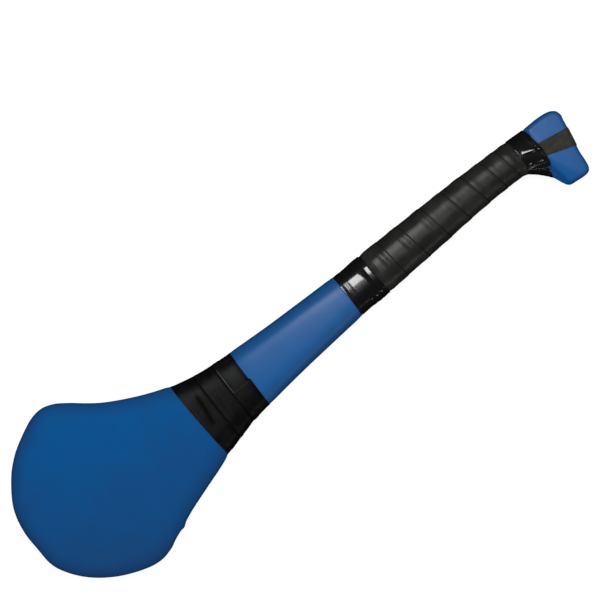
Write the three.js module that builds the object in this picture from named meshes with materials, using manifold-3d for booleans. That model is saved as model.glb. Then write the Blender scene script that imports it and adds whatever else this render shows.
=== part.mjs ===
// A child's foam hurley: one foam moulding round a stiff core, with tape at its neck and butt
// and a grip strip wound up its handle.
// Millimetres. It lies face up: X runs from the tip of the bas to the butt, +Y to the high edge
// of the bas, and +Z out of the face. The shaft's centre line is the X axis until the end,
// where the whole stick is moved to stand on its own base.

import * as THREE from "three";
import { mergeVertices } from "three/addons/utils/BufferGeometryUtils.js";
import Module from "manifold-3d";

// Driving dimensions of the moulding
const overallLength = 456.4;
const basLength = 138.2;
const basHighWidth = 74.4;
const basLowWidth = 55.3;
const neckLength = 44.7;
const neckHalfWidth = 30.3;
const throatHalfWidth = 21.9;
const shaftHalfWidth = 16.3;
const handleHalfWidth = 12.9;
const hookLength = 53;
const hookDrop = 40.3;
const buttRise = 9.8;

// Depth of the moulding, and how far in from the edge its faces start to round over
const basDepth = 24;
const shaftDepth = 23.3;
const buttDepth = 21.1;
const basRounding = 21;
const shaftRounding = 11;
const buttRounding = 8;

// Tapes and grip: thickness, length along the handle, and the room they press into the foam
const gap = 0.3;
const neckSeatDepth = 1;
const handleSeatDepth = 1.4;
const seatFade = 1.3;
const neckTapeThickness = 0.6;
const neckTapeLift = 0.1;
const neckTapeTurns = 3;
const collarThickness = 1.4;
const upperCollarThickness = 1.1;
const collarEdgeThickness = 0.7;
const bareShaftLength = 85.1;
const lowerCollarLength = 25;
const lowerCollarEdgeLap = 3.4;
const gripThickness = 0.9;
const gripLap = 0.55;
const gripPitch = 18.6;
const gripFirstPitch = 8.7;
const gripSettleTurns = 3.67;
const gripFrontTurns = 0.84;
const gripOntoFlare = 12.7;
const gripEdgeShare = 0.8;
const gripRiseShare = 0.85;
const turnGap = 0.46;
const taperWidth = 1.6;
const upperCollarHighLength = 13.4;
const upperCollarLowLength = 8.2;
const upperCollarBulge = 3.8;
const upperCollarEdgeLap = 2.4;
const layerStepShare = 0.8;
const buttStripThickness = 0.8;
const buttStripHighY = -3;
const buttStripLowY = -13.4;
const buttEndHighY = -7.9;
const buttEndLowY = -20.8;

// The hidden core, and the pin holes that held it in the mould
const coreRadius = 5;
const coreIntoBas = 66;
const coreOntoHook = 33.6;
const coreEndRounding = 1.2;
const pinHoleRadius = 2;
const pinHoleShare = 0.2;
const cutOverrun = 2;

// Fineness of the meshes
const bodySides = 32;
const turnSteps = 24;
const outlineSteps = 900;
const coreSides = 16;
const sleeveSteps = 8;
const basSteps = 16;
const hookSteps = 28;
const basTipSteps = 9;
const buttTipSteps = 7;
const stripAcrossSteps = 4;
const stripRoundSteps = 8;
const edgeTolerance = 1e-6;

const neckTapeStart = basLength;
const neckTapeEnd = basLength + neckLength;
const lowerCollarStart = neckTapeEnd + bareShaftLength;
const lowerCollarEnd = lowerCollarStart + lowerCollarLength;
const gripStart = lowerCollarEnd + gap;
const hookStart = overallLength - hookLength;
const gripEnd = hookStart + gripOntoFlare;
const upperCollarStart = gripEnd + gap;
const upperCollarHighEnd = upperCollarStart + upperCollarHighLength;
const upperCollarLowEnd = upperCollarStart + upperCollarLowLength;
const coreStart = basLength - coreIntoBas;
const coreEnd = hookStart + coreOntoHook;
const halfTurn = Math.PI;
const fullTurn = 2 * Math.PI;

const clampShare = (share) => Math.min(Math.max(share, 0), 1);
const mix = (from, to, share) => from + (to - from) * share;
const ease = (share) => share * share * (3 - 2 * share);
const rise = (x, from, to) => ease(clampShare((x - from) / (to - from)));

// Plan outline. Each row is a share of the stretch's length and a share of its width.
const basTipHeightShare = 0.06;
const buttTipHeightShare = 0.2;
const basHighShares = [
  [0.0072, 0.27], [0.036, 0.457], [0.095, 0.626], [0.182, 0.794], [0.299, 0.923],
  [0.415, 1], [0.475, 0.989], [0.532, 0.938], [0.59, 0.852], [0.677, 0.715], [0.794, 0.581],
  [0.91, 0.474],
];
const basLowShares = [
  [0.0072, 0.2], [0.036, 0.367], [0.095, 0.57], [0.182, 0.758], [0.27, 0.884],
  [0.357, 0.969], [0.415, 1], [0.475, 0.987], [0.532, 0.925], [0.59, 0.882], [0.677, 0.796],
  [0.822, 0.685], [0.94, 0.6],
];
const neckNarrowShares = [[0, 0], [0.264, 0.42], [0.535, 0.71], [1, 1]];
const throatNarrowShares = [[0.32, 0.43], [0.67, 0.75], [1, 1]];
const handleNarrowShares = [[0.3, 0.28], [0.55, 0.51], [0.8, 0.8]];
const hookHighShares = [
  [0, 0.6], [0.226, 0.46], [0.53, 0.05], [0.76, -0.07], [0.885, -0.42], [0.935, -0.78],
  [0.975, -1.4],
];
const hookLowShares = [
  [0, 0.337], [0.142, 0.353], [0.225, 0.415], [0.31, 0.52], [0.39, 0.652], [0.445, 0.775],
  [0.475, 0.885], [0.52, 0.957], [0.62, 0.983], [0.735, 1], [0.808, 0.988], [0.846, 0.92],
  [0.862, 0.816], [0.878, 0.64], [0.905, 0.5], [0.935, 0.33], [0.964, 0.15], [0.986, 0.02],
];

// The stretch between two places, narrowing from one half width to the next
function stretch(shares, from, to, fromWidth, toWidth) {
  return shares.map(([along, narrowed]) => [
    mix(from, to, along),
    mix(fromWidth, toWidth, narrowed),
  ]);
}

const middleEdge = [
  ...stretch(neckNarrowShares, neckTapeStart, neckTapeEnd, neckHalfWidth, throatHalfWidth),
  ...stretch(throatNarrowShares, neckTapeEnd, lowerCollarStart, throatHalfWidth, shaftHalfWidth),
  ...stretch(handleNarrowShares, lowerCollarStart, hookStart, shaftHalfWidth, handleHalfWidth),
];
const highEdge = [
  ...basHighShares.map(([along, out]) => [along * basLength, out * basHighWidth]),
  ...middleEdge,
  ...hookHighShares.map(([along, out]) => [
    hookStart + along * hookLength,
    mix(buttRise, handleHalfWidth, out),
  ]),
];
const lowEdge = [
  ...basLowShares.map(([along, out]) => [along * basLength, -out * basLowWidth]),
  ...middleEdge.map(([x, halfWidth]) => [x, -halfWidth]),
  ...hookLowShares.map(([along, out]) => [hookStart + along * hookLength, -out * hookDrop]),
];
const basTip = [0, basTipHeightShare * basHighWidth];
const buttTip = [overallLength, buttTipHeightShare * buttRise];

// One smooth closed curve through all of them, then its high and its low side
const outlinePoints = [basTip, ...highEdge, buttTip, ...lowEdge.reverse()];
const outlineCurve = new THREE.CatmullRomCurve3(
  outlinePoints.map(([x, y]) => new THREE.Vector3(x, y, 0)),
  true,
  "centripetal",
);
const outline = outlineCurve.getPoints(outlineSteps);
const buttIndex = outline.reduce(
  (best, point, index) => (point.x > outline[best].x ? index : best),
  0,
);
const tipIndex = outline.reduce(
  (best, point, index) => (point.x < outline[best].x ? index : best),
  0,
);
const turnedOutline = [...outline.slice(tipIndex, -1), ...outline.slice(0, tipIndex)];
const highCount = (buttIndex - tipIndex + outlineSteps) % outlineSteps;
const highSide = turnedOutline.slice(0, highCount + 1);
const lowSide = [...turnedOutline.slice(highCount), turnedOutline[0]].reverse();

// Height of one side of the outline at a place along the stick, and its slope there
function sideAt(side, x) {
  let index = side.findIndex((point) => point.x >= x);
  index = index < 0 ? side.length - 1 : Math.max(index, 1);
  const before = side[index - 1];
  const after = side[index];
  const slope = (after.y - before.y) / Math.max(after.x - before.x, Number.EPSILON);
  return { y: before.y + slope * (x - before.x), slope };
}

// Shortest distance from a place in plan to the outline, positive inside it
function depthInside(x, y) {
  let nearest = Infinity;
  for (let index = 0; index < turnedOutline.length; index += 1) {
    const from = turnedOutline[index];
    const to = turnedOutline[(index + 1) % turnedOutline.length];
    const spanX = to.x - from.x;
    const spanY = to.y - from.y;
    const length = spanX * spanX + spanY * spanY;
    const share = clampShare(((x - from.x) * spanX + (y - from.y) * spanY) / length);
    nearest = Math.min(nearest, Math.hypot(x - from.x - spanX * share, y - from.y - spanY * share));
  }
  const inside = y < sideAt(highSide, x).y && y > sideAt(lowSide, x).y;
  return inside ? nearest : -nearest;
}

function halfDepthAt(x) {
  const depth = basDepth
    + (shaftDepth - basDepth) * rise(x, neckTapeEnd, lowerCollarStart)
    + (buttDepth - shaftDepth) * rise(x, gripEnd, upperCollarHighEnd);
  return depth / 2;
}

function roundingAt(x) {
  return basRounding
    + (shaftRounding - basRounding) * rise(x, basLength / 2, neckTapeEnd)
    + (buttRounding - shaftRounding) * rise(x, lowerCollarEnd, upperCollarStart);
}

// How far the tapes press the foam in
function seatAt(x) {
  const neck = rise(x, neckTapeStart - seatFade, neckTapeStart)
    - rise(x, neckTapeEnd, neckTapeEnd + seatFade);
  const handle = rise(x, lowerCollarStart - seatFade, lowerCollarStart)
    - rise(x, upperCollarStart, upperCollarHighEnd);
  return neckSeatDepth * neck + handleSeatDepth * handle;
}

// A point of the skin that lies a given offset outside the unpressed moulding.
// The angle goes round the section from the high edge over the face to the low edge and back.
function skinPoint(x, angle, offset) {
  const high = sideAt(highSide, x);
  const low = sideAt(lowSide, x);
  const highY = high.y + offset * Math.hypot(1, high.slope);
  const lowY = low.y - offset * Math.hypot(1, low.slope);
  const y = mix(lowY, highY, (1 + Math.cos(angle)) / 2);
  return new THREE.Vector3(x, y, heightAt(x, y, offset, Math.sin(angle)));
}

function heightAt(x, y, offset, side) {
  const onEdge = Math.abs(side) < edgeTolerance;
  const inset = clampShare((depthInside(x, y) + offset) / (roundingAt(x) + offset));
  const height = (halfDepthAt(x) + offset) * Math.sqrt(1 - (1 - inset) ** 2);
  return onEdge ? 0 : Math.sign(side) * height;
}

// A closed skin over rings of points; it is either capped at both ends or joined end to end
function skinOver(rings, joined) {
  const points = rings.flat();
  const size = rings[0].length;
  const faces = [];
  const spans = joined ? rings.length : rings.length - 1;
  for (let ring = 0; ring < spans; ring += 1) {
    const here = ring * size;
    const next = ((ring + 1) % rings.length) * size;
    for (let side = 0; side < size; side += 1) {
      const other = (side + 1) % size;
      faces.push(here + side, next + side, here + other);
      faces.push(here + other, next + side, next + other);
    }
  }
  if (!joined) {
    capRing(points, faces, 0, size, false);
    capRing(points, faces, (rings.length - 1) * size, size, true);
  }
  const geometry = new THREE.BufferGeometry().setFromPoints(points);
  geometry.setIndex(faces);
  return facedOutward(geometry);
}

function capRing(points, faces, start, size, far) {
  const middle = new THREE.Vector3();
  for (let side = 0; side < size; side += 1) {
    middle.addScaledVector(points[start + side], 1 / size);
  }
  points.push(middle);
  const centre = points.length - 1;
  for (let side = 0; side < size; side += 1) {
    const other = (side + 1) % size;
    faces.push(centre, start + (far ? other : side), start + (far ? side : other));
  }
}

function facedOutward(geometry) {
  const position = geometry.getAttribute("position");
  const index = geometry.getIndex();
  const [a, b, c] = [new THREE.Vector3(), new THREE.Vector3(), new THREE.Vector3()];
  let volume = 0;
  for (let corner = 0; corner < index.count; corner += 3) {
    a.fromBufferAttribute(position, index.getX(corner));
    b.fromBufferAttribute(position, index.getX(corner + 1));
    c.fromBufferAttribute(position, index.getX(corner + 2));
    volume += a.dot(b.cross(c));
  }
  if (volume < 0) {
    for (let corner = 0; corner < index.count; corner += 3) {
      const second = index.getX(corner + 1);
      index.setX(corner + 1, index.getX(corner + 2));
      index.setX(corner + 2, second);
    }
  }
  geometry.computeVertexNormals();
  return geometry;
}

// Evenly spaced places from one to another
function spread(from, to, count) {
  return Array.from({ length: count + 1 }, (_, index) => mix(from, to, index / count));
}

// The same, no further apart than the step
function places(from, to, step) {
  return spread(from, to, Math.max(Math.ceil((to - from) / step), 1));
}

// Places that crowd together towards an end that rounds over
function roundedPlaces(tip, reach, count) {
  return Array.from({ length: count }, (_, index) => {
    const angle = ((index + 1) / count) * (halfTurn / 2);
    return tip + reach * (1 - Math.cos(angle));
  });
}

function bodyStations() {
  const coarse = basLength / basSteps;
  const fine = hookLength / hookSteps;
  const all = [
    ...roundedPlaces(0, basRounding, basTipSteps),
    ...places(basRounding, neckTapeStart - seatFade, coarse),
    ...places(neckTapeStart, neckTapeEnd, coarse),
    ...places(neckTapeEnd + seatFade, lowerCollarStart - seatFade, 2 * coarse),
    ...places(lowerCollarStart, gripEnd - coarse, 2 * coarse),
    ...places(gripEnd - coarse, overallLength - buttRounding, fine),
    ...roundedPlaces(overallLength, -buttRounding, buttTipSteps).reverse(),
  ].sort((one, other) => one - other);
  return all.filter((x, index) => index === 0 || x - all[index - 1] > gap / 2);
}

const wasm = await Module();
wasm.setup();

function toSolid(geometry) {
  const bare = geometry.clone();
  bare.deleteAttribute("normal");
  bare.deleteAttribute("uv");
  const merged = mergeVertices(bare);
  return new wasm.Manifold(new wasm.Mesh({
    numProp: 3,
    vertProperties: new Float32Array(merged.getAttribute("position").array),
    triVerts: new Uint32Array(merged.getIndex().array),
  }));
}

function toGeometry(solid) {
  const mesh = solid.getMesh();
  const geometry = new THREE.BufferGeometry();
  geometry.setAttribute("position", new THREE.BufferAttribute(mesh.vertProperties, 3));
  geometry.setIndex(new THREE.BufferAttribute(mesh.triVerts, 1));
  geometry.computeVertexNormals();
  return geometry;
}

// A round bar along X with rounded ends
function coreShape(radius, from, to) {
  const corner = coreEndRounding;
  const profile = [
    new THREE.Vector2(0, from),
    new THREE.Vector2(radius - corner, from),
    new THREE.Vector2(radius, from + corner),
    new THREE.Vector2(radius, to - corner),
    new THREE.Vector2(radius - corner, to),
    new THREE.Vector2(0, to),
  ];
  return new THREE.LatheGeometry(profile, coreSides).rotateZ(-halfTurn / 2);
}

function pinHole(x) {
  const reach = basDepth / 2 + cutOverrun;
  const hole = new THREE.CylinderGeometry(pinHoleRadius, pinHoleRadius, reach, coreSides);
  return hole.rotateX(halfTurn / 2).translate(x, 0, -reach / 2);
}

function foamBody() {
  const rings = bodyStations().map((x) => Array.from({ length: bodySides }, (_, side) => (
    skinPoint(x, (side / bodySides) * fullTurn, -seatAt(x))
  )));
  const pocket = coreShape(coreRadius + gap, coreStart - gap, coreEnd + gap);
  return toGeometry(
    toSolid(skinOver(rings, false))
      .subtract(toSolid(pocket))
      .subtract(toSolid(pinHole(mix(gripStart, gripEnd, pinHoleShare))))
      .subtract(toSolid(pinHole(mix(gripStart, gripEnd, 1 - pinHoleShare)))),
  );
}

// A strip wound round the stick from its butt side. seamAt gives how far the seam behind each
// turn has come from that side; the strip's own ends taper along the two edges it is cut to.
// It crosses the face towards the high edge, or towards the low edge where sense is -1.
function woundStrip({ seamAt, start, end, sense, frontTurns, thickness, lap }) {
  const length = end - start;
  const sections = [];
  let turns = 0;
  while (seamAt(turns) < taperWidth) {
    turns += 1 / turnSteps;
  }
  while (length - seamAt(turns - 1) > taperWidth) {
    const lead = Math.min(seamAt(turns), length - turnGap / 2);
    const trail = turns < 1 ? 0 : Math.min(seamAt(turns - 1), length);
    const toeX = end - lead + turnGap / 2;
    const buttX = end - trail - (turns < 1 ? 0 : turnGap / 2);
    const angle = halfTurn / 2 - sense * (turns - frontTurns) * fullTurn;
    const inner = (x) => gap - seatAt(x);
    const stepX = mix(toeX, buttX, gripRiseShare);
    const middleX = (toeX + stepX) / 2;
    const corners = [
      [toeX, inner(toeX)],
      [buttX, inner(buttX)],
      [buttX, inner(buttX) + thickness + lap],
      [stepX, inner(stepX) + thickness + lap / 2],
      [middleX, inner(middleX) + thickness],
      [toeX, inner(toeX) + thickness * gripEdgeShare],
    ];
    sections.push(corners.map(([x, offset]) => skinPoint(x, angle, offset)));
    turns += 1 / turnSteps;
  }
  return sections;
}

// Least distance between points of a strip that lie at least half a turn apart along it
function leastGap(sections) {
  let least = Infinity;
  for (let one = 0; one < sections.length; one += 1) {
    for (let other = one + turnSteps / 2; other < sections.length; other += 1) {
      for (const point of sections[one]) {
        for (const neighbour of sections[other]) {
          least = Math.min(least, point.distanceTo(neighbour));
        }
      }
    }
  }
  return least;
}

// The grip starts close-wound against the butt and settles to its full pitch
function gripSeam(turns) {
  const settled = Math.min(Math.max(turns, 0), gripSettleTurns);
  const gain = (gripPitch - gripFirstPitch) / (2 * gripSettleTurns);
  return gripFirstPitch * settled + gain * settled * settled
    + gripPitch * Math.max(turns - gripSettleTurns, 0);
}

// The neck tape runs nearly square over the face and steps along behind it
function neckSeam(turns) {
  const pitch = neckLength / neckTapeTurns;
  const whole = Math.floor(Math.max(turns, 0));
  return pitch * (whole + ease(Math.max(turns, 0) - whole));
}

// A closed sleeve of tape, thinner along both edges where fewer layers lie
function sleeve({ startAt, endAt, edgeLap, thickness }) {
  return Array.from({ length: bodySides }, (_, side) => {
    const angle = (side / bodySides) * fullTurn;
    const start = startAt(angle);
    const end = endAt(angle);
    const middles = spread(start + edgeLap, end - edgeLap, sleeveSteps - 3);
    const outer = [
      [start, collarEdgeThickness],
      [start + edgeLap * layerStepShare, collarEdgeThickness],
      ...middles.map((x) => [x, thickness]),
      [end - edgeLap * layerStepShare, collarEdgeThickness],
      [end, collarEdgeThickness],
    ];
    const inner = spread(end, start, sleeveSteps).map((x) => [x, 0]);
    return [...outer, ...inner].map(([x, above]) => (
      skinPoint(x, angle, gap - seatAt(x) + above)
    ));
  });
}

function upperCollarEndAt(angle) {
  const across = (1 - Math.cos(angle)) / 2;
  return mix(upperCollarHighEnd, upperCollarLowEnd, across)
    + upperCollarBulge * Math.sin(angle) ** 2;
}

// The strip lies on the face of the butt, turns over its end and comes back on the other face
function buttStrip() {
  const rows = spread(0, 1, stripAcrossSteps);
  const endX = (y) => highSide.concat([...lowSide].reverse())
    .filter((point) => point.x > upperCollarHighEnd)
    .reduce((best, point) => (Math.abs(point.y - y) < Math.abs(best.y - y) ? point : best)).x;
  const collarEdge = spread(0, halfTurn, bodySides)
    .map((angle) => skinPoint(upperCollarEndAt(angle), angle, gap));
  const startX = (y) => {
    const below = collarEdge.findIndex((point) => point.y < y);
    const [from, to] = [collarEdge[below - 1], collarEdge[below]];
    return mix(from.x, to.x, (from.y - y) / (from.y - to.y)) + gap;
  };
  const pointAt = (across, along, above) => {
    const offset = gap + above;
    const fromY = mix(buttStripHighY, buttStripLowY, across);
    const toY = mix(buttEndHighY, buttEndLowY, across);
    const from = new THREE.Vector2(startX(fromY), fromY);
    const to = new THREE.Vector2(endX(toY), toY);
    const out = to.clone().sub(from).normalize();
    const side = Math.sign(along);
    const angle = Math.min(Math.abs(along), 1) * (halfTurn / 2);
    const x = to.x + out.x * (offset - (buttRounding + offset) * (1 - Math.cos(angle)));
    const y = to.y + out.y * (offset - (buttRounding + offset) * (1 - Math.cos(angle)));
    const flat = Math.max(Math.abs(along) - 1, 0);
    const height = (halfDepthAt(to.x) + offset) * Math.sin(angle);
    return new THREE.Vector3(mix(x, from.x, flat), mix(y, from.y, flat), side * height);
  };
  // From the collar on one face, at -2, round the butt from -1 to 1, to the collar on the other
  const stops = [-2, ...spread(-1, 1, 2 * stripRoundSteps), 2];
  return stops.map((along) => [
    ...rows.map((across) => pointAt(across, along, buttStripThickness)),
    ...[...rows].reverse().map((across) => pointAt(across, along, 0)),
  ]);
}

function piece(name, geometry, color, roughness) {
  const material = new THREE.MeshStandardMaterial({ color, roughness, metalness: 0 });
  const mesh = new THREE.Mesh(geometry, material);
  mesh.name = name;
  return mesh;
}

const foamBlue = 0x17509a;
const coreGrey = 0xb9b8b0;
const tapeBlack = 0x1b1c1f;
const collarBlack = 0x0b0b0d;
const gripCharcoal = 0x26282b;
const stripCharcoal = 0x202327;

const gripSections = woundStrip({
  seamAt: gripSeam,
  start: gripStart,
  end: gripEnd,
  sense: 1,
  frontTurns: gripFrontTurns,
  thickness: gripThickness,
  lap: gripLap,
});
const neckSections = woundStrip({
  seamAt: neckSeam,
  start: neckTapeStart,
  end: neckTapeEnd,
  sense: -1,
  frontTurns: 0,
  thickness: neckTapeThickness,
  lap: neckTapeLift,
});
console.log(`grip_wrap: least gap to itself ${leastGap(gripSections).toFixed(2)} mm`);
console.log(`neck_tape: least gap to itself ${leastGap(neckSections).toFixed(2)} mm`);

const lowerCollar = sleeve({
  startAt: () => lowerCollarStart,
  endAt: () => lowerCollarEnd,
  edgeLap: lowerCollarEdgeLap,
  thickness: collarThickness,
});
const upperCollar = sleeve({
  startAt: () => upperCollarStart,
  endAt: upperCollarEndAt,
  edgeLap: upperCollarEdgeLap,
  thickness: upperCollarThickness,
});

const stick = new THREE.Group();
stick.add(piece("foam_body", foamBody(), foamBlue, 0.55));
stick.add(piece("core_rod", coreShape(coreRadius, coreStart, coreEnd), coreGrey, 0.5));
stick.add(piece("neck_tape", skinOver(neckSections, false), tapeBlack, 0.5));
stick.add(piece("lower_collar_tape", skinOver(lowerCollar, true), collarBlack, 0.2));
stick.add(piece("grip_wrap", skinOver(gripSections, false), gripCharcoal, 0.6));
stick.add(piece("upper_collar_tape", skinOver(upperCollar, true), collarBlack, 0.2));
stick.add(piece("butt_strip", skinOver(buttStrip(), false), stripCharcoal, 0.7));

// The origin goes to the middle of the base
const hurley = new THREE.Group();
const box = new THREE.Box3().setFromObject(stick);
const middle = box.getCenter(new THREE.Vector3());
stick.position.set(-middle.x, -middle.y, -box.min.z);
hurley.add(stick);

export default hurley;
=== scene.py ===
"""A child's foam hurley: the looks of the moulded stick, its tapes and its grip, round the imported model.

Lengths are worked in millimetres along the stick: x runs from the toe of the bas to the butt, y across it
towards the high edge, z out of its face, and the middle of the shaft is y = 0, z = 0.
"""

import math

import bpy
import numpy as np
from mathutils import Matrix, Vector, noise


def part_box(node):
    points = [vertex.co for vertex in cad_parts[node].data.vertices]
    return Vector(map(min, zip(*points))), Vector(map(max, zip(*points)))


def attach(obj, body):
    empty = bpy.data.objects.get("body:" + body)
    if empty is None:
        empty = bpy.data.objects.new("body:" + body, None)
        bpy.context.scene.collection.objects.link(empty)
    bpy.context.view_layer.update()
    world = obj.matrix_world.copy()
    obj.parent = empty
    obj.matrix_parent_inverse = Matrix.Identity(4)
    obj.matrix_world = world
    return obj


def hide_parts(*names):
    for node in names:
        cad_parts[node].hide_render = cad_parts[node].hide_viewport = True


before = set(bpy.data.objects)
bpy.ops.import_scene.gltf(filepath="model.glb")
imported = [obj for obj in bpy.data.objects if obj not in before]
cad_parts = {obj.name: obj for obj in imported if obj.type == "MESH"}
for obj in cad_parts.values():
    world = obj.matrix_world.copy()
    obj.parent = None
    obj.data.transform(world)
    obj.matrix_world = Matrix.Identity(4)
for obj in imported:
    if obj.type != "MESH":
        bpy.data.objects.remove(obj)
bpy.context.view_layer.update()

# The stick's driving sizes, in millimetres. Where a tape or the grip starts and ends is read from the frame.
LENGTH = 456.52
BAS_DEPTH, SHAFT_DEPTH, BUTT_DEPTH = 24.0, 23.3, 22.6
BAS_ROUNDING, BUTT_ROUNDING = 15.0, 3.2
NECK_ROUNDING_SHARE, HANDLE_ROUNDING_SHARE = 0.74, 0.86
NECK_SEAT, HANDLE_SEAT, SEAT_FADE, FLARE_FADE = 1.0, 1.4, 1.3, 13.4
BAS_INTO_SHAFT, SHAFT_INTO_HANDLE, HANDLE_INTO_BUTT = (70, 178), (225, 290), (426, 432.4)
TAPED_FROM, TAPED_TO = 130, 438
BAS_WIDTH, FLANK_DEPTH = 130.0, 3.0
PARTING_WIDTH, PARTING_RISE = 0.3, 0.12
POCKET_GAP, POCKET_ROUNDING = 0.3, 1.2
CLEAR = 0.05

NECK_TAPE, NECK_WIDTH, NECK_PRESS, NECK_EDGE_PRESS = 0.16, 17.8, 0.42, 0.22
COLLAR_TAPE, COLLAR_PRESS, LOWER_PRESS, COLLAR_EDGE_PRESS = 0.14, 0.62, 0.28, 0.25
GRIP, GRIP_LAP, GRIP_FEATHER = 0.46, 3.2, 3.4
BUTT_TAPE = 0.35

# Angles round the stick, and how many turns a strip has run where it first crosses the middle of the face.
FACE, BACK = math.pi / 2, -math.pi / 2
NECK_TO_FACE, GRIP_TO_FACE = 0.523, 0.84

# How finely the outline is drawn, and the steepest slope that is reckoned with, at its ends.
FINENESS, STATIONS, END_MARGIN = 8, 1800, 4
STEEPEST = 2.5


def box_of(node):
    """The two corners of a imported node's box, in millimetres."""
    low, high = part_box(node)
    return np.array(low) * 1000, np.array(high) * 1000


core_low, core_high = box_of("core_rod")
STICK = np.array([-LENGTH / 2, (core_low[1] + core_high[1]) / 2, (core_low[2] + core_high[2]) / 2])


def span_of(node):
    """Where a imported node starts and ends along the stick."""
    low, high = box_of(node)
    return low[0] - STICK[0], high[0] - STICK[0]


NECK_FROM, NECK_TO = span_of("neck_tape")
LOWER_FROM, _ = span_of("lower_collar_tape")
GRIP_FROM, GRIP_TO = span_of("grip_wrap")
UPPER_FROM, _ = span_of("upper_collar_tape")


def rise(x, start, end):
    """0 before start, 1 after end and an even swell between them."""
    share = np.clip((x - start) / (end - start), 0, 1)
    return share * share * (3 - 2 * share)


def hump(x, middle, reach):
    """1 in the middle, falling evenly to nothing over the reach on both sides."""
    return np.exp(-(((x - middle) / reach) ** 2))


def ripple(points, size, seed):
    """Smooth chance swells of about that size, between -1 and 1, one for each point."""
    shift = Vector((seed * 13.7, seed * 5.3, seed * 9.1))
    flat = np.asarray(points, float).reshape(-1, 3) / size
    return np.array([noise.noise(Vector(p) + shift) for p in flat]).reshape(np.shape(points)[:-1])


def to_frame(points):
    """From millimetres along the stick to metres in the shared frame."""
    return (np.asarray(points, float) + STICK) * 0.001


def rows_of(items, name):
    """One row of three numbers for each of a mesh's points or faces."""
    rows = np.empty(len(items) * 3, np.float32)
    items.foreach_get(name, rows)
    return rows.reshape(-1, 3)


# The outline of the moulding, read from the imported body's rim.


def rim_of_body():
    """The high and the low line of the body's rim, without the rod's pocket, which has points there too."""
    places = rows_of(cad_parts["foam_body"].data.vertices, "co") * 1000.0 - STICK
    at_mid_depth = np.abs(places[:, 2]) < 0.02
    rim = np.unique(places[at_mid_depth][:, :2].round(2), axis=0)
    pocket_from, pocket_to, pocket_reach = 60, 440, 6
    pocket = (rim[:, 0] > pocket_from) & (rim[:, 0] < pocket_to) & (np.abs(rim[:, 1]) < pocket_reach)
    rim = rim[~pocket]
    middle = np.interp(rim[:, 0], (0, 430, 440, LENGTH), (4.2, 0, -14, 2.2))
    high, low = rim[rim[:, 1] >= middle], rim[rim[:, 1] < middle]
    return high[np.lexsort((high[:, 1], high[:, 0]))], low[np.lexsort((-low[:, 1], low[:, 0]))]


def seat_depth(x):
    """How deep the body's seats lie under the tapes. The handle's runs out along the flare."""
    neck = rise(x, NECK_FROM - SEAT_FADE, NECK_FROM) - rise(x, NECK_TO, NECK_TO + SEAT_FADE)
    handle = rise(x, LOWER_FROM - SEAT_FADE, LOWER_FROM) - rise(x, UPPER_FROM, UPPER_FROM + FLARE_FADE)
    return NECK_SEAT * neck + HANDLE_SEAT * handle


def steepness(slope):
    """How much longer a sloping edge is than its run along the stick."""
    return np.hypot(1, np.clip(slope, -STEEPEST, STEEPEST))


def without_seats(edge, sign):
    """The edge with the seats under the tapes filled in. A few rounds settle how steep it is there."""
    filled = edge.copy()
    rounds = 4
    for _ in range(rounds):
        slope = np.gradient(filled[:, 1], filled[:, 0] + np.arange(len(filled)) * 1e-6)
        filled[:, 1] = edge[:, 1] + sign * seat_depth(edge[:, 0]) * steepness(slope)
    return filled


def curve_through(points, pieces):
    """A closed smooth line through the points, with that many short pieces between two of them."""
    line = []
    count = len(points)
    for i in range(count):
        p0, p1, p2, p3 = (points[(i + k) % count] for k in (-1, 0, 1, 2))
        t1 = max(np.linalg.norm(p1 - p0), 1e-6) ** 0.5
        t2 = t1 + max(np.linalg.norm(p2 - p1), 1e-6) ** 0.5
        t3 = t2 + max(np.linalg.norm(p3 - p2), 1e-6) ** 0.5
        for t in t1 + (t2 - t1) * np.arange(pieces) / pieces:
            a1 = (t1 - t) / t1 * p0 + t / t1 * p1
            a2 = (t2 - t) / (t2 - t1) * p1 + (t - t1) / (t2 - t1) * p2
            a3 = (t3 - t) / (t3 - t2) * p2 + (t - t2) / (t3 - t2) * p3
            b1 = (t2 - t) / t2 * a1 + t / t2 * a2
            b2 = (t3 - t) / (t3 - t1) * a2 + (t - t1) / (t3 - t1) * a3
            line.append((t2 - t) / (t2 - t1) * b1 + (t - t1) / (t2 - t1) * b2)
    return np.array(line)


rim_high, rim_low = rim_of_body()
rim_high = without_seats(rim_high, 1)
rim_low = without_seats(rim_low, -1)
OUTLINE = curve_through(np.vstack([rim_high, rim_low[::-1]]), FINENESS)
HIGH_LINE = OUTLINE[: (len(rim_high) - 1) * FINENESS + 1]
LOW_LINE = OUTLINE[len(rim_high) * FINENESS :][::-1]
ALONG = np.linspace(END_MARGIN, LENGTH - END_MARGIN, STATIONS)
HIGH_AT = np.interp(ALONG, HIGH_LINE[:, 0], HIGH_LINE[:, 1])
LOW_AT = np.interp(ALONG, LOW_LINE[:, 0], LOW_LINE[:, 1])
HIGH_STEEP = steepness(np.gradient(HIGH_AT, ALONG))
LOW_STEEP = steepness(np.gradient(LOW_AT, ALONG))


def high_edge(x):
    return np.interp(x, ALONG, HIGH_AT)


def low_edge(x):
    return np.interp(x, ALONG, LOW_AT)


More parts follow.
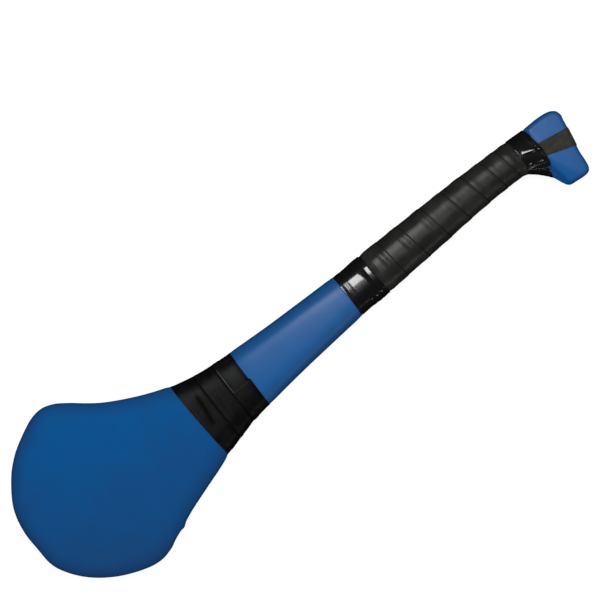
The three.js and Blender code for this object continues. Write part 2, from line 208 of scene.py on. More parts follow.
def inside(x, y):
    """How far each point lies inside the outline, less than 0 where it lies outside."""
    start, end = OUTLINE, np.roll(OUTLINE, -1, axis=0)
    step = end - start
    square = (step**2).sum(1)
    points = np.stack([np.ravel(x), np.ravel(y)], 1)
    nearest = np.empty(len(points))
    within = np.empty(len(points), bool)
    at_once = 1500
    for first in range(0, len(points), at_once):
        part = slice(first, first + at_once)
        block = points[part, None, :]
        off = block - start[None]
        share = np.clip((off * step[None]).sum(2) / square, 0, 1)
        gap = off - share[..., None] * step[None]
        nearest[part] = np.sqrt((gap**2).sum(2).min(1))
        over = (start[None, :, 1] > block[..., 1]) != (end[None, :, 1] > block[..., 1])
        reach = start[None, :, 0] + off[..., 1] / np.where(step[:, 1] == 0, 1e-12, step[:, 1]) * step[:, 0]
        within[part] = (over & (block[..., 0] < reach)).sum(1) % 2 == 1
    return (nearest * np.where(within, 1, -1)).reshape(np.shape(x))


def half_depth(x):
    """The bas is thickest. The depth falls along the shaft, and again on the flare."""
    shaft = (SHAFT_DEPTH - BAS_DEPTH) * rise(x, NECK_TO, LOWER_FROM)
    butt = (BUTT_DEPTH - SHAFT_DEPTH) * rise(x, GRIP_TO + 10, GRIP_TO + 22)
    return (BAS_DEPTH + shaft + butt) / 2


def rounding(x):
    """How far in from the edge the face becomes flat. The shaft is nearly an oval, the butt a block."""
    widest_oval = 30
    half_width = np.minimum((high_edge(x) - low_edge(x)) / 2, widest_oval)
    more_on_handle = HANDLE_ROUNDING_SHARE - NECK_ROUNDING_SHARE
    shaft = (NECK_ROUNDING_SHARE + more_on_handle * rise(x, *SHAFT_INTO_HANDLE)) * half_width
    on_shaft = rise(x, *BAS_INTO_SHAFT)
    on_butt = rise(x, *HANDLE_INTO_BUTT)
    return (BAS_ROUNDING * (1 - on_shaft) + shaft * on_shaft) * (1 - on_butt) + BUTT_ROUNDING * on_butt


def crown(x, share):
    """The faces swell a little towards the middle, most on the shaft and the handle. share runs from the
    low edge to the high one."""
    least, more = 0.07, 0.05
    swell = least + more * rise(x, 120, 190) - more * rise(x, 405, 430)
    return 1 - swell * (2 * share - 1) ** 2


def height(x, y, share, lift):
    """How far a point of the face stands out of the middle plane. A bend of 2 makes a round corner, as it
    nearly is on the handle, and a higher one fills it."""
    corner = rounding(x)
    inset = np.clip((inside(x, y) + lift) / (corner + lift), 0, 1)
    bend = 3.0 - 0.7 * rise(x, 225, 285)
    return (half_depth(x) * crown(x, share) + lift) * np.sqrt(np.maximum(0, 1 - (1 - inset) ** bend))


def height_up(x, turn):
    """How high across the stick a point of the skin lies, at that angle round it."""
    return low_edge(x) + (high_edge(x) - low_edge(x)) * (1 + np.cos(turn)) / 2


def skin(x, turn, lift):
    """Points on the stick's own skin, or lifted off it. turn is the angle round the stick."""
    x, turn, lift = np.broadcast_arrays(np.asarray(x, float), turn, lift)
    share = (1 + np.cos(turn)) / 2
    high = high_edge(x) + lift * np.interp(x, ALONG, HIGH_STEEP)
    low = low_edge(x) - lift * np.interp(x, ALONG, LOW_STEEP)
    y = low + (high - low) * share
    z = height(x, y, share, lift)
    on_rim = np.abs(np.sin(turn)) < 1e-6
    return np.stack([x, y, np.where(on_rim, 0, z * np.sign(np.sin(turn)))], -1)


# Where the edges of the tapes run, as x for each angle round the stick.


def neck_edges(turn):
    """The toe side runs nearly square; the butt side steps out below the strip's own cut end on the face."""
    across, face = np.cos(turn), np.sin(turn)
    toe = 139.1 - 0.45 * across - 0.4 * np.maximum(face, 0) ** 2
    butt = np.where(across > 0.02, 182.6 + 1.2 * across, 182.3 + 1.3 * (1 + across))
    return toe, np.where(face > 0, butt, 183.05 + 0.75 * across)


def lower_edges(turn):
    """Both sides run nearly square, a little narrower on the high side."""
    across = np.cos(turn)
    return 267.7 + 0.5 * across, 292.0 - 0.7 * across + 0.25 * np.sin(2 * turn + 0.6)


def upper_edges(turn):
    """The toe side draws back a little on the low side, the butt side swings round the flare."""
    across = np.cos(turn)
    toe = 415.9 + 0.2 * np.sin(2 * turn + 0.4) - 1.6 * rise(-across, 0.45, 0.8)
    low_to_high = (-1, -0.5, -0.13, 0.26, 0.6, 1)
    return toe, np.interp(across, low_to_high, (425.4, 427.2, 430.2, 431.5, 431.1, 430.0))


def beside(x, toe, butt, reach):
    """1 between the two edges, falling to nothing over the reach outside them."""
    return hump(np.minimum(x - toe, 0), 0, reach) * hump(np.maximum(x - butt, 0), 0, reach)


def pressed(x, turn):
    """How far the tightly wound tapes press the foam in, deepest under them and a little beside them."""
    toe, butt = neck_edges(turn)
    under = rise(x, toe, toe + 3) * (1 - rise(x, butt - 3, butt))
    deepest = NECK_PRESS * (1 + 0.5 * np.sin(turn) ** 2)
    neck = NECK_EDGE_PRESS * beside(x, toe, butt, 3.2) + (deepest - NECK_EDGE_PRESS) * under
    toe, _ = lower_edges(turn)
    _, butt = upper_edges(turn)
    under = rise(x, toe, toe + 2.5) * (1 - rise(x, butt - 0.3, butt + 1.5))
    deepest = COLLAR_PRESS + LOWER_PRESS * (1 - rise(x, 290, 400))
    collar = COLLAR_EDGE_PRESS * beside(x, toe, butt, 3.0) + (deepest - COLLAR_EDGE_PRESS) * under
    places = (292.5, 296, 304, 340, 360, 385, 400, 411, 416)
    grip = np.interp(x, places, (0.55, 0.06, 0.33, 0.5, 0.76, 0.72, 0.47, 0.44, 1.12))
    under_grip = rise(x, 287, 290.4) * (1 - rise(x, 418.2, 421.6))
    return neck + collar + (grip - deepest) * under_grip


# Making a piece from a flat grid, and finishing it.


def only(piece):
    bpy.ops.object.select_all(action="DESELECT")
    piece.select_set(True)
    bpy.context.view_layer.objects.active = piece


def laid_grid(name, places, size):
    """A flat grid is added and its points are laid where the piece goes. Its own map keeps its flat size."""
    across, along = places.shape[0] - 1, places.shape[1] - 1
    bpy.ops.object.select_all(action="DESELECT")
    bpy.ops.mesh.primitive_grid_add(x_subdivisions=along, y_subdivisions=across, size=1)
    piece = bpy.context.object
    piece.name = name
    piece.data.name = name
    piece.data.vertices.foreach_set("co", to_frame(places).astype(np.float32).ravel())
    flat = piece.data.uv_layers.active
    spots = np.empty(len(flat.data) * 2, np.float32)
    flat.data.foreach_get("uv", spots)
    spots = spots.reshape(-1, 2) * np.array(size, np.float32)
    flat.data.foreach_set("uv", spots.ravel())
    flat.name = "Laid"
    piece.data.update()
    return piece


def flip(piece):
    only(piece)
    bpy.ops.object.mode_set(mode="EDIT")
    bpy.ops.mesh.select_all(action="SELECT")
    bpy.ops.mesh.flip_normals()
    bpy.ops.object.mode_set(mode="OBJECT")


def face_outwards(piece):
    """Turns an open strip's faces away from the middle of the stick."""
    middles = rows_of(piece.data.polygons, "center") * 1000 - STICK
    middle_line = (high_edge(middles[:, 0]) + low_edge(middles[:, 0])) / 2
    outward = np.stack([0 * middle_line, middles[:, 1] - middle_line, middles[:, 2]], 1)
    if (outward * rows_of(piece.data.polygons, "normal")).sum() < 0:
        flip(piece)


def finished_with(piece, kind, **settings):
    """A modifier is added, set and applied."""
    only(piece)
    bpy.ops.object.modifier_add(type=kind)
    modifier = piece.modifiers[-1]
    for key, value in settings.items():
        setattr(modifier, key, value)
    bpy.ops.object.modifier_apply(modifier=modifier.name)


def thicken(piece, thickness, edge, full=None, least=1.0):
    """The strip gets its thickness inwards, less where full is under 1, and its edges are broken."""
    face_outwards(piece)
    settings = {}
    if full is not None:
        group = piece.vertex_groups.new(name="full_depth")
        for index, share in enumerate(np.ravel(full)):
            group.add([index], float(share), "REPLACE")
        settings = {"vertex_group": group.name, "thickness_vertex_group": least}
    finished_with(piece, "SOLIDIFY", thickness=thickness * 0.001, offset=-1.0, **settings)
    finished_with(
        piece,
        "BEVEL",
        width=edge * 0.001,
        segments=2,
        limit_method="ANGLE",
        angle_limit=math.radians(50),
    )


def smooth(piece, degrees=40):
    only(piece)
    bpy.ops.object.shade_smooth_by_angle(angle=math.radians(degrees))


def stands_for(piece, node, finish):
    """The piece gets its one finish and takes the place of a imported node, on the stick's one body."""
    piece.data.materials.clear()
    piece.data.materials.append(finish)
    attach(piece, "root")
    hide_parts(node)


def keep_on_points(piece, name, values):
    """Marks, one for each point, that a finish reads by their name."""
    layer = piece.data.attributes.new(name, "FLOAT", "POINT")
    layer.data.foreach_set("value", np.asarray(values, np.float32).ravel())


# The foam moulding: two puffed sheets that meet on the mould's parting line.


def walk(line, start, end, shares):
    """Points between two places along a line, at shares of the way."""
    steps = np.hypot(*np.diff(line, axis=0).T)
    way = np.concatenate([[0], np.cumsum(steps)])
    first = way[np.argmin(((line - start) ** 2).sum(1))]
    last = way[np.argmin(((line - end) ** 2).sum(1))]
    at = first + (last - first) * shares
    return np.stack([np.interp(at, way, line[:, 0]), np.interp(at, way, line[:, 1])], 1)


def plan_of_moulding():
    """Where the lines of the sheets run, seen from the face: from toe to butt, and from edge to edge."""
    toe_x, rows_from, rows_to, butt_high_x, butt_low_x = 19, 39, 436, 454.2, 447.0
    lines, toe_rows, butt_rows = 49, 15, 22
    toe_high = HIGH_LINE[np.argmin(np.abs(HIGH_LINE[:, 0] - toe_x))]
    toe_low = LOW_LINE[np.argmin(np.abs(LOW_LINE[:, 0] - toe_x))]
    butt_high = HIGH_LINE[np.argmin(np.abs(HIGH_LINE[:, 0] - butt_high_x))]
    butt_low = LOW_LINE[np.argmin(np.abs(LOW_LINE[:, 0] - butt_low_x))]
    edge_to_edge = (1 - np.cos(np.linspace(0, math.pi, lines))) / 2
    opening = 1 - np.cos(np.linspace(0, math.pi / 2, toe_rows))[:-1]
    stations = list(toe_x + (rows_from - toe_x) * opening)
    # Each stretch of rows is close together where a tape or the mould's flash needs it, and wide elsewhere.
    stretch_ends = (rows_from, 62, 92, 135, 187, 264, 296, 410, rows_to)
    row_gaps = (3.2, 1.2, 3.2, 0.8, 2.6, 0.8, 3.0, 0.8)
    for start, end, gap in zip(stretch_ends, stretch_ends[1:], row_gaps):
        stations += list(np.arange(start, end, gap))
    closing = np.sin(np.linspace(0, math.pi / 2, butt_rows))
    high_x = np.array(stations + list(rows_to + (butt_high_x - rows_to) * closing))
    low_x = np.array(stations + list(rows_to + (butt_low[0] - rows_to) * closing))
    high = np.stack([high_x, np.interp(high_x, HIGH_LINE[:, 0], HIGH_LINE[:, 1])], 1)
    low = np.stack([low_x, np.interp(low_x, LOW_LINE[:, 0], LOW_LINE[:, 1])], 1)
    high[0], low[0], high[-1], low[-1] = toe_high, toe_low, butt_high, butt_low
    plan = low[:, None] + (high - low)[:, None] * edge_to_edge[None, :, None]
    closed = np.vstack([LOW_LINE[::-1], HIGH_LINE])
    toe = walk(closed, toe_low, toe_high, edge_to_edge)
    round_butt = np.vstack([LOW_LINE, HIGH_LINE[::-1]])
    butt = walk(round_butt, butt_low, butt_high, edge_to_edge)
    middle_x = (high[:, 0] + low[:, 0]) / 2
    towards_toe = 1 - rise(middle_x, toe_x, 120)
    towards_butt = rise(middle_x, 434, middle_x[-1])
    plan += towards_toe[:, None, None] * (toe - plan[0])[None]
    plan += towards_butt[:, None, None] * (butt - plan[-1])[None]
    return plan.transpose(1, 0, 2), edge_to_edge


def hook_flank(x, y):
    """1 where the low flank of the hook has fallen away, from a line that runs down from the collar."""
    line_x, line_y, off_x, off_y, off_length = 431.6, -14.0, 20.4, 8.1, 21.95
    off = ((x - line_x) * off_x + (y - line_y) * off_y) / off_length
    return (1 - rise(off, -9, 0.5)) * rise(x, 424, 429) * rise(-y, 13, 20)


def flash_of_mould(x, share, points):
    """Flash on the low edge of the bas, where the halves of the mould didn't quite meet."""
    lumps = 0.7 * hump(x, 70, 4) + 1.0 * hump(x, 85, 2.4) + 0.3 * hump(x, 77, 5) * ripple(points, 1.6, 9)
    return lumps * rise(0.02 - share, 0, 0.02)


def moulding_half(side, plan, share):
    """One half: side is 1 for the face and -1 for the back. Only its rim lies on the parting line."""
    least_depth = 0.15
    x, y = plan[..., 0], plan[..., 1]
    share = np.broadcast_to(share[:, None], x.shape)
    turn = np.arccos(np.clip(2 * share - 1, -1, 1)) * side
    squeeze = -pressed(x, turn)
    tape_rows = (x > TAPED_FROM) & (x < TAPED_TO)
    steep = np.where(share > 0.5, np.interp(x, ALONG, HIGH_STEEP), np.interp(x, ALONG, LOW_STEEP))
    y = y + np.where(tape_rows, squeeze * steep * (2 * share - 1), 0)
    squeeze = np.where(tape_rows, squeeze, 0)
    edge = np.zeros(x.shape, bool)
    edge[0], edge[-1], edge[:, 0], edge[:, -1] = True, True, True, True
    z = np.where(edge, 0, np.maximum(height(x, y, share, squeeze), least_depth))
    points = np.stack([x, y, side * z], -1)
    fallen = hook_flank(x, y)
    flank = np.minimum(FLANK_DEPTH * fallen, 0.6 * z) * (1 if side > 0 else 0.5)
    swell = 0.16 * ripple(points, 38, 3) + 0.05 * ripple(points, 13, 5) - 0.1
    points[..., 2] += np.where(edge, 0, side * swell * rise(z, 2, 9))
    points[..., 2] -= side * flank
    points[..., 1] -= flash_of_mould(x, share, points)
    half = laid_grid("foam_moulding", points, (LENGTH, BAS_WIDTH))
    keep_on_points(half, "from_rim", np.clip(inside(x, y), 0, 60) * 0.001)
    keep_on_points(half, "flank", fallen)
    return half


def picked(piece, kind, test):
    """Selects, in edit mode, the points or edges whose places pass the test."""
    bpy.ops.mesh.select_mode(type=kind)
    bpy.ops.mesh.select_all(action="DESELECT")
    bpy.ops.object.mode_set(mode="OBJECT")
    mesh = piece.data
    passes = test(rows_of(mesh.vertices, "co") * 1000 - STICK)
    if kind == "EDGE":
        ends = np.empty(len(mesh.edges) * 2, np.int32)
        mesh.edges.foreach_get("vertices", ends)
        passes = passes[ends.reshape(-1, 2)].all(1)
        mesh.edges.foreach_set("select", passes)
    else:
        mesh.vertices.foreach_set("select", passes)
    bpy.ops.object.mode_set(mode="EDIT")


def raise_parting_line(piece):
    """The thin ridge that the two halves of the mould leave round the rim."""
    only(piece)
    bpy.ops.object.mode_set(mode="EDIT")
    picked(piece, "EDGE", lambda at: np.abs(at[:, 2]) < 1e-3)
    bpy.ops.mesh.bevel(offset=PARTING_WIDTH * 0.001, segments=2, affect="EDGES")
    picked(piece, "VERT", lambda at: np.abs(at[:, 2]) < 1e-3)
    bpy.ops.transform.shrink_fatten(value=PARTING_RISE * 0.001)
    bpy.ops.object.mode_set(mode="OBJECT")


def rod_pocket():
    """The hollow that the stiffening rod was moulded into: a little larger than the rod all round."""
    middle, size = (core_low + core_high) / 2, core_high - core_low
    bpy.ops.object.select_all(action="DESELECT")
    bpy.ops.mesh.primitive_cylinder_add(
        vertices=32,
        radius=(size[2] / 2 + POCKET_GAP) * 0.001,
        depth=(size[0] + 2 * POCKET_GAP) * 0.001,
        location=middle * 0.001,
        rotation=(0, math.pi / 2, 0),
    )
    pocket = bpy.context.object
    bpy.ops.object.transform_apply(location=True, rotation=True, scale=True)
    flip(pocket)
    width = POCKET_ROUNDING * 0.001
    finished_with(pocket, "BEVEL", width=width, segments=3, limit_method="ANGLE", angle_limit=1.0)
    return pocket


def foam_moulding(finish):
    """Two halves joined at their rims, the ridge that the mould leaves there, and the rod's hollow."""
    plan, share = plan_of_moulding()
    face = moulding_half(1, plan, share)
    back = moulding_half(-1, plan, share)
    only(face)
    back.select_set(True)
    bpy.ops.object.join()
    bpy.ops.object.mode_set(mode="EDIT")
    bpy.ops.mesh.select_all(action="SELECT")
    bpy.ops.mesh.remove_doubles(threshold=1e-6)
    bpy.ops.mesh.normals_make_consistent(inside=False)
    bpy.ops.object.mode_set(mode="OBJECT")
    raise_parting_line(face)
    pocket = rod_pocket()
    only(face)
    pocket.select_set(True)
    bpy.ops.object.join()
    face.name = "foam_moulding"
    smooth(face, degrees=60)
    stands_for(face, "foam_body", finish)


# Wound strips: each is one long flat strip, laid round the stick turn by turn.


def near_skin(x, angle, wide, deep):
    """Places on an oval round the stick, near enough to its skin for a ripple to follow."""
    return np.stack([x, wide * np.cos(angle), deep * np.sin(angle)], -1)


def wound(name, turns, where, thickness, edge, steps, across, least=1.0):
    """A strip of that many turns, with so many steps to a turn. where is asked about turns run and shares of
    the width, and answers with x, the angle, the lift, the share of the full thickness, and marks that
    the finish uses. least is the thinnest share of the thickness that the strip comes down to."""
    turn_length, strip_width = 0.1, 0.025
    count = int(round(turns * steps))
    turn = np.linspace(0, turns, count + 1)[None, :]
    share = np.linspace(0, 1, across + 1)[:, None]
    turn, share = np.broadcast_arrays(turn, share)
    x, angle, lift, full, marks = where(turn, share)
    piece = laid_grid(name, skin(x, angle, lift), (turns * turn_length, strip_width))
    for mark, values in marks.items():
        keep_on_points(piece, mark, values)
    thicken(piece, thickness, edge, None if least == 1.0 else full, least)
    return piece


def stacked(x, turn, span, depth, most):
    """How far a strip's earlier turns lift it where it passes over them."""
    lift = 0 * x
    for back in range(1, most + 1):
        start, end = span(turn - back)
        lift = lift + depth(np.minimum(x - start, end - x)) * rise(turn - back, -0.04, 0)
    return lift


def neck_tape(finish):
    """Cloth tape, wound once on the spot and then side by side, and stepping on mostly at the back."""
    half_turns = (0, 0.77, 1.27, 1.77, 2.27, 2.77, 3.27, 3.6)
    places = (137.5, 137.5, 153.4, 155.6, 167.3, 169.8, 168.4, 168.2)
    # After that many turns no other turn laps the strip. A mark that a place is without is set far off.
    lapped_to, far_off = 2.51, 9.0

    def span(turn):
        """Where the strip's two edges run after that many turns."""
        start = np.interp(turn, half_turns, places)
        return start, start + NECK_WIDTH

    def depth(inset):
        """The tape bridges down to the skin just outside the turn that it passes over."""
        return (NECK_TAPE + CLEAR) * rise(inset, -1.1, -0.05)

    def crease(x, y):
        """How deep a fold, and a slack place beside a seam, cut into the face: 1 along their middles."""
        fold = hump(x, 147.1 + 0.19 * (y - 3) - 0.006 * y * y, 1.5)
        fold = fold * rise(y, -12, -4) * (1 - rise(y, 10, 18))
        slack = hump(x, 158.2 + 0.12 * y, 0.9) * rise(y, -16, -8) * (1 - rise(y, 2, 8))
        return fold + 0.35 * slack

    def where(turn, share):
        angle = FACE - 2 * math.pi * (turn - NECK_TO_FACE)
        toe, butt = neck_edges(angle)
        start, end = span(turn)
        start, end = np.maximum(start, toe), np.minimum(end, butt)
        x = start + (end - start) * share
        points = near_skin(x, angle, 24, 12)
        y = height_up(x, angle)
        on_face = rise(np.sin(angle), 0, 0.3)
        cut = crease(x, y) * on_face
        blister = hump(x, 149.4, 0.8) * hump(y, 17.2, 0.8) + hump(x, 155.9, 0.8) * hump(y, 16.0, 0.8)
        stands_off = 0.8 * rise(x, 139, 146) * (1 - rise(x, 158, 168)) * rise(-np.cos(angle), 0.3, 0.9)
        uneven = 0.04 * ripple(points, 5, 11) - 0.3 * cut + 0.2 * blister * on_face + stands_off
        lift = -pressed(x, angle) + CLEAR + NECK_TAPE + stacked(x, turn, span, depth, 3)
        next_start = np.interp(turn + 1, half_turns, places)
        # Where one turn's edge gets its painted highlight: the upper half of that turn.
        edge_band = rise(y, -6, 4) * (1 - rise(y, 15, 20)) * (turn > 2.2) * (turn < 2.8)
        return x, angle, lift + uneven, 1.0, {
            "from_seam": np.where(turn < lapped_to, next_start - x, far_off) * 0.001,
            "from_edge": np.where(edge_band > 0, x - start, far_off) * 0.001,
            "edge_band": edge_band,
            "crease": cut,
        }

    piece = wound("neck_tape_strip", 3.52, where, NECK_TAPE, edge=0.05, steps=110, across=56)
    smooth(piece)
    stands_for(piece, "neck_tape", finish)


def grip_wrap(finish):
    """One long strip from the butt to the lower collar. Each turn laps the last one."""
    half_turns = (0, 0.9, 1.09, *np.arange(1.59, 8.7, 0.5))
    near_butt = (418.0, 418.0, 415.8, 409.5, 404.5, 398.0, 392.0, 382.5, 376.0)
    near_shaft = (366.1, 359.3, 348.2, 341.8, 328.9, 322.5, 308.9, 305.9, 291.5)
    seams = near_butt + near_shaft
    thinnest = 0.4

    def span(turn):
        toe_side = np.interp(turn + 1, half_turns, seams) - GRIP_LAP
        return np.maximum(toe_side, GRIP_FROM - GRIP_LAP), np.interp(turn, half_turns, seams)

    def depth(inset):
        """Thinner at its own edges, and the next turn comes down beside it."""
        edge_share = thinnest * rise(inset, -5, -0.1)
        return (GRIP + CLEAR) * (edge_share + (1 - thinnest) * rise(inset, 0, GRIP_FEATHER))

    def where(turn, share):
        angle = FACE - 2 * math.pi * (turn - GRIP_TO_FACE)
        toe_side, butt_side = span(turn)
        x = toe_side + (butt_side - toe_side) * share
        inset = np.minimum(x - toe_side, butt_side - x)
        full = rise(inset, 0, GRIP_FEATHER)
        points = near_skin(x, angle, 15, 12)
        from_seam = x - np.interp(turn + 1, half_turns, seams)
        on_face = 0.25 + 0.75 * rise(np.sin(angle), 0.2, 0.8)
        tight = rise(x, 330, 365)
        pulled_edge = (0.22 - 0.03 * tight) * hump(butt_side - x, 4.4 - 2.2 * tight, 2.4 - 0.7 * tight)
        swollen = 0.13 * tight * hump(from_seam, 3.0, 1.5)
        plump = (pulled_edge + swollen) * on_face * (1 + 0.5 * ripple(points, 9, 21))
        plump = plump + 0.05 * ripple(points, 7, 25) + 0.02 * ripple(points, 2.4, 23)
        thickness = GRIP * (thinnest + (1 - thinnest) * full)
        lift = -pressed(x, angle) + CLEAR + thickness + stacked(x, turn, span, depth, 1)
        return x, angle, lift + plump, full, {"from_seam": from_seam * 0.001}

    piece = wound("grip_strip", 8.55, where, GRIP, edge=0.06, steps=84, across=32, least=thinnest)
    smooth(piece)
    stands_for(piece, "grip_wrap", finish)


def band(name, node, edges, floor, wrinkles, finish, start_angle, turns, drift, steps, across):
    """A band of thin stretchy tape. Its turns lie on each other, and it drifts a little towards the butt."""
    air = 0.03
    growth = COLLAR_TAPE + air

    def where(turn, share):
        angle = start_angle + 2 * math.pi * turn
        toe, butt = edges(angle)
        slip = drift * turn / turns
        start, end = toe + slip, butt + slip - drift
        x = start + (end - start) * share
        lift = floor(x, angle) + CLEAR + COLLAR_TAPE + growth * turn
        off_edges = np.minimum(1, 18 * share * (1 - share))
        raised, dull = wrinkles(x, angle)
        return x, angle, lift + np.maximum(raised, 0) * off_edges, 1.0, {"dull": dull}

    piece = wound(name, turns, where, COLLAR_TAPE, edge=0.03, steps=steps, across=across)
    smooth(piece)
    stands_for(piece, node, finish)


def lower_floor(x, angle):
    """How high the lower band lies: on the pressed foam, and then on the start of the grip."""
    start_of_grip = 0.86 * rise(x, 276 + 8.5 * np.sin(angle) ** 2, 290)
    beside = 0.3 * np.cos(angle) ** 2 * (1 - rise(x, 284, 290))
    return start_of_grip + beside - COLLAR_PRESS - LOWER_PRESS


def upper_floor(x, angle):
    """How high the upper band lies: on the pressed foam, on the start of the butt strip, and bunched up
    on the high side."""
    y = height_up(x, angle)
    strip = rise(y, -15.5, -13.3) * (1 - rise(y, -3, -0.8)) * rise(x, 427.4, 428.8)
    foam = np.maximum(-pressed(x, angle), -COLLAR_PRESS)
    bunched = 0.35 * rise(np.cos(angle), 0.5, 0.9)
    return foam + bunched + (BUTT_TAPE + CLEAR) * strip


def lower_wrinkles(x, angle):
    """Pulled flat in the middle of the face, in narrow rings beside it and in round ones on the low side,
    which is dull but for the crests of its rings."""
    points = near_skin(x * 0.7, angle, 13, 12)
    lean = x - 0.5 * np.cos(angle) - 0.2 * ripple(points, 9, 2)
    toe_side = ((267.0, 0.0), (269.4, 0.02), (270.9, 0.15), (271.7, 0.19), (273.3, 0.06), (275.2, 0.15))
    middle = ((280.2, 0.13), (284.6, 0.15), (286.4, 0.13))
    butt_side = ((288.2, 0.26), (288.9, 0.12), (289.8, 0.05), (290.7, 0.12), (291.3, 0.12), (293.0, 0.0))
    places, heights = zip(*toe_side, *middle, *butt_side)
    face = np.interp(lean, places, heights) * np.sin(angle) ** 2
    crest = np.abs(np.cos(math.pi * (lean - 280.5) / 4.2)) * rise(x, 276.5, 279)
    low_side = rise(-np.cos(angle), 0.5, 0.75)
    rings = 0.5 * crest * (1 - 0.6 * rise(-np.cos(angle), 0.88, 0.98))
    dull = low_side * (1 - rise(crest, 0.8, 0.95))
    return face + (rings - face) * low_side + 0.01 * ripple(points, 3.5, 4), dull


def upper_wrinkles(x, angle):
    """Folds that run towards the butt along the flare, and fan out to its low side. Its end is dull."""
    y = height_up(x, angle)
    # Each fold: where it starts and ends, how far it reaches to its sides, and its height at both ends.
    folds = (
        (418.4, -1.4, 427.4, -5.1, 1.6, 0.03, 1.05),
        (412.6, -10.6, 419.5, -11.8, 1.0, 0.2, 0.6),
        (427.6, -5.4, 431.4, -8.2, 0.9, 0.1, 0.5),
        (419.0, -12.2, 428.0, -15.8, 1.0, 0.1, 0.5),
        (413.6, -13.0, 427.0, -20.0, 0.9, 0.2, 0.4),
        (414.4, -15.0, 426.0, -22.6, 0.9, 0.2, 0.4),
        (415.8, -17.4, 424.5, -25.0, 0.9, 0.2, 0.4),
    )
    raised = 0 * x
    for from_x, from_y, to_x, to_y, reach, first, last in folds:
        length = math.hypot(to_x - from_x, to_y - from_y)
        along = ((x - from_x) * (to_x - from_x) + (y - from_y) * (to_y - from_y)) / length
        off = ((x - from_x) * (to_y - from_y) - (y - from_y) * (to_x - from_x)) / length
        ends = rise(along, -1.5, 1.5) * (1 - rise(along, length - 1, length + 1.5))
        size = first + (last - first) * np.clip(along / length, 0, 1)
        raised = raised + size * np.exp(-((off / reach) ** 4)) * ends
    points = near_skin(x * 0.3, angle, 14, 11)
    back = 0.06 * (1 + np.sin(9 * angle + 0.2 * (x - 416) + 1.6 * ripple(points, 8, 6)))
    on_face = rise(np.sin(angle), -0.1, 0.2)
    dull = rise(x, 424.5, 426.5) * rise(y, -4.4, -3)
    return raised * on_face + back * (1 - on_face) + 0.015 * ripple(points, 4, 8), dull


def lower_band(finish):
    """Two whole turns, from the middle of the back and to it."""
    winding = {"start_angle": BACK, "turns": 2.0, "drift": 1.8, "steps": 130, "across": 96}
    band("lower_band", "lower_collar_tape", lower_edges, lower_floor, lower_wrinkles, finish, **winding)


def upper_band(finish):
    """It starts in the middle of the face, and its second turn ends high on the back."""
    winding = {"start_angle": FACE, "turns": 1.6, "drift": 0.8, "steps": 260, "across": 48}
    band("upper_band", "upper_collar_tape", upper_edges, upper_floor, upper_wrinkles, finish, **winding)


# The strip of tape over the butt, from one face to the other.


def butt_strip(finish):
    """It starts under the upper collar on one face, goes over the butt and ends under it on the other."""
    collar_x, collar_y, collar_width = 429.0, -12.9, 9.8
    rim_x, rim_y, rim_width, rim_slant = 451.5, -21.3, 13.2, 3.1
    lines, stations, fine_stations, halvings = 17, 56, 1500, 24
    flat_size = (0.07, 0.011)

    def laid(far, share):
        """Points along the strip's lines: far is 0 under the collar and about 1 on the rim of the butt."""
        start_y, end_y = collar_y + collar_width * share, rim_y + rim_width * share
        x = collar_x + (rim_x + rim_slant * share - collar_x) * far
        y = start_y + (end_y - start_y) * far
        up = np.clip((y - low_edge(x)) / (high_edge(x) - low_edge(x)), 0, 1)
        lift = BUTT_TAPE + CLEAR - pressed(x, np.arccos(2 * up - 1))
        return x, y, height(x, y, 0.5 + 0 * x, lift)

    shares = np.linspace(0, 1, lines)
    short, long = np.full(lines, 0.9), np.full(lines, 1.1)
    for _ in range(halvings):
        trial = (short + long) / 2
        on_face = laid(trial, shares)[2] > 0
        short, long = np.where(on_face, trial, short), np.where(on_face, long, trial)
    fine = np.sin(np.linspace(0, math.pi / 2, fine_stations))
    middle = np.stack(laid(fine * short[lines // 2], np.full(fine_stations, 0.5)), 1)
    way = np.concatenate([[0], np.cumsum(np.linalg.norm(np.diff(middle, axis=0), axis=1))])
    even = np.interp(np.linspace(0, way[-1], stations), way, fine)
    far, share = np.broadcast_arrays(np.append(even, even[-2::-1])[None, :], shares[:, None])
    x, y, z = laid(far * short[:, None], share)
    side = np.sign(stations - 1 - np.arange(2 * stations - 1))
    piece = laid_grid("butt_tape_strip", np.stack([x, y, z * side], -1), flat_size)
    thicken(piece, BUTT_TAPE, edge=0.08)
    smooth(piece)
    stands_for(piece, "butt_strip", finish)


# Finishes.


class Wire:
    """One output of a node. Python's own signs add the Math nodes that join it to others."""

    def __init__(self, finish, socket):
        self.finish = finish
        self.socket = socket

    def joined(self, operation, first, second):
        """The result of a Math node on two wires or numbers."""
        return self.finish.add("ShaderNodeMath", {"operation": operation}, {0: first, 1: second})

    def __add__(self, other):
        return self.joined("ADD", self, other)

    __radd__ = __add__

    def __sub__(self, other):
        return self.joined("SUBTRACT", self, other)

    def __rsub__(self, other):
        return self.joined("SUBTRACT", other, self)

    def __mul__(self, other):
        return self.joined("MULTIPLY", self, other)

    __rmul__ = __mul__

    def out(self, name):
        """Another output of the same node."""
        return Wire(self.finish, self.socket.node.outputs[name])


